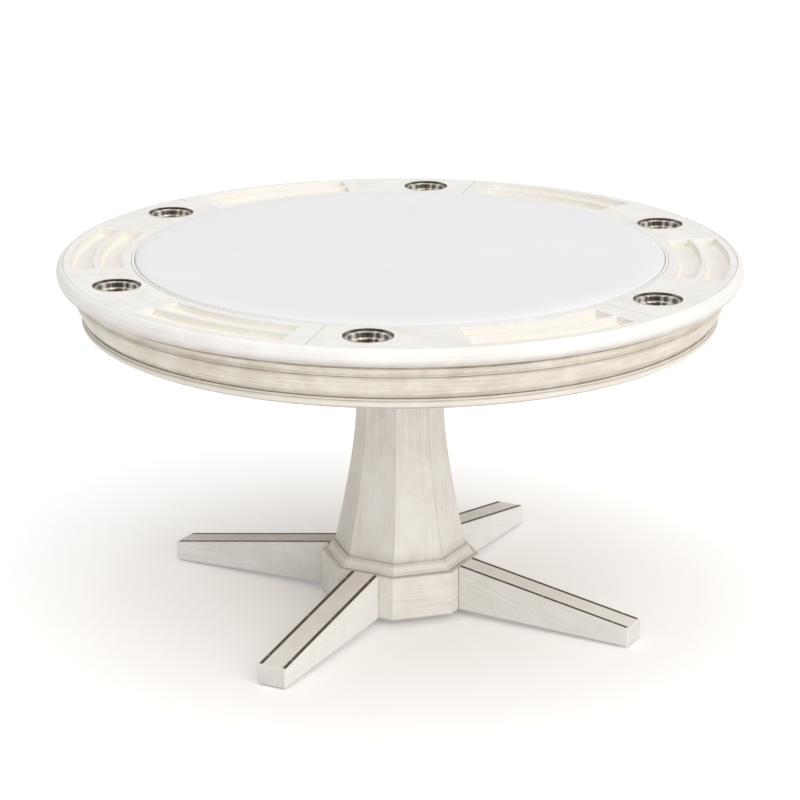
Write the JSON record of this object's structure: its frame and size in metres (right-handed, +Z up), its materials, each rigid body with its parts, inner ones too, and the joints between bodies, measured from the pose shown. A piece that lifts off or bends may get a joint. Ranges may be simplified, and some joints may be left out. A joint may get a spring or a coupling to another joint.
{
  "type": "gaming table",
  "caption": "Round pedestal gaming table with a padded playing panel, a rail with cup liners and chip trays, a flared octagonal column and splayed legs.",
  "frame": {"origin": "on the floor at the column's axis", "axes": "+Z up; -Y faces the front, +X to the right seen from the front"},
  "size_m": [1.43, 1.43, 0.7805],
  "materials": {
    "painted_wood": "antique white paint with a brushed warm glaze, satin",
    "playing_fabric": "smooth white cloth drawn tight over a thin foam pad",
    "bare_wood": "unfinished plywood and hardwood",
    "polished_steel": "polished stainless sheet",
    "zinc_steel": "zinc-plated",
    "aged_bronze": "dark antique bronze, rubbed",
    "leveler_plastic": "black nylon"
  },
  "bodies": {
    "table": {"rail_segment_1": "painted_wood", "rail_segment_2": "painted_wood", "rail_segment_3": "painted_wood", "rail_segment_4": "painted_wood", "rail_segment_5": "painted_wood", "rail_segment_6": "painted_wood", "edge_nosing": "painted_wood", "inner_bead": "painted_wood", "panel_pad": "playing_fabric", "panel_board": "bare_wood", "sub_top": "bare_wood", "apron_cove": "painted_wood", "apron_band": "painted_wood", "apron_bead": "painted_wood", "mounting_plate": "bare_wood", "support_batten_1": "bare_wood", "support_batten_2": "bare_wood", "support_batten_3": "bare_wood", "support_batten_4": "bare_wood", "column_stave_1": "painted_wood", "column_stave_2": "painted_wood", "column_stave_3": "painted_wood", "column_stave_4": "painted_wood", "column_stave_5": "painted_wood", "column_stave_6": "painted_wood", "column_stave_7": "painted_wood", "column_stave_8": "painted_wood", "column_top_plug": "bare_wood", "column_base_plug": "bare_wood", "tie_rod": "zinc_steel", "tie_rod_top_nut": "zinc_steel", "tie_rod_base_nut": "zinc_steel", "base_cap_moulding": "painted_wood", "base_block": "painted_wood", "leg_1": "painted_wood", "leg_1_strip_left": "aged_bronze", "leg_1_strip_right": "aged_bronze", "leg_bolt_1": "zinc_steel", "leg_2": "painted_wood", "leg_2_strip_left": "aged_bronze", "leg_2_strip_right": "aged_bronze", "leg_bolt_2": "zinc_steel", "leg_3": "painted_wood", "leg_3_strip_left": "aged_bronze", "leg_3_strip_right": "aged_bronze", "leg_bolt_3": "zinc_steel", "leg_4": "painted_wood", "leg_4_strip_left": "aged_bronze", "leg_4_strip_right": "aged_bronze", "leg_bolt_4": "zinc_steel"},
    "cup_1": {"cup_liner_1": "polished_steel"},
    "cup_2": {"cup_liner_2": "polished_steel"},
    "cup_3": {"cup_liner_3": "polished_steel"},
    "cup_4": {"cup_liner_4": "polished_steel"},
    "cup_5": {"cup_liner_5": "polished_steel"},
    "cup_6": {"cup_liner_6": "polished_steel"},
    "leveler_foot_1": {"leveler_1": "leveler_plastic"},
    "leveler_foot_2": {"leveler_2": "leveler_plastic"},
    "leveler_foot_3": {"leveler_3": "leveler_plastic"},
    "leveler_foot_4": {"leveler_4": "leveler_plastic"}
  },
  "joints": [
    {"name": "cup_1_lift", "type": "slide", "parent": "table", "child": "cup_1", "axis": [0, 0, 1], "range_m": [0, 0.075]},
    {"name": "cup_2_lift", "type": "slide", "parent": "table", "child": "cup_2", "axis": [0, 0, 1], "range_m": [0, 0.075]},
    {"name": "cup_3_lift", "type": "slide", "parent": "table", "child": "cup_3", "axis": [0, 0, 1], "range_m": [0, 0.075]},
    {"name": "cup_4_lift", "type": "slide", "parent": "table", "child": "cup_4", "axis": [0, 0, 1], "range_m": [0, 0.075]},
    {"name": "cup_5_lift", "type": "slide", "parent": "table", "child": "cup_5", "axis": [0, 0, 1], "range_m": [0, 0.075]},
    {"name": "cup_6_lift", "type": "slide", "parent": "table", "child": "cup_6", "axis": [0, 0, 1], "range_m": [0, 0.075]},
    {"name": "leveler_1_turn", "type": "hinge", "parent": "table", "child": "leveler_foot_1", "pos_m": [-0.24098, -0.45514, 0], "axis": [0, 0, 1], "continuous": true},
    {"name": "leveler_2_turn", "type": "hinge", "parent": "table", "child": "leveler_foot_2", "pos_m": [0.45514, -0.24098, 0], "axis": [0, 0, 1], "continuous": true},
    {"name": "leveler_3_turn", "type": "hinge", "parent": "table", "child": "leveler_foot_3", "pos_m": [0.24098, 0.45514, 0], "axis": [0, 0, 1], "continuous": true},
    {"name": "leveler_4_turn", "type": "hinge", "parent": "table", "child": "leveler_foot_4", "pos_m": [-0.45514, 0.24098, 0], "axis": [0, 0, 1], "continuous": true}
  ]
}
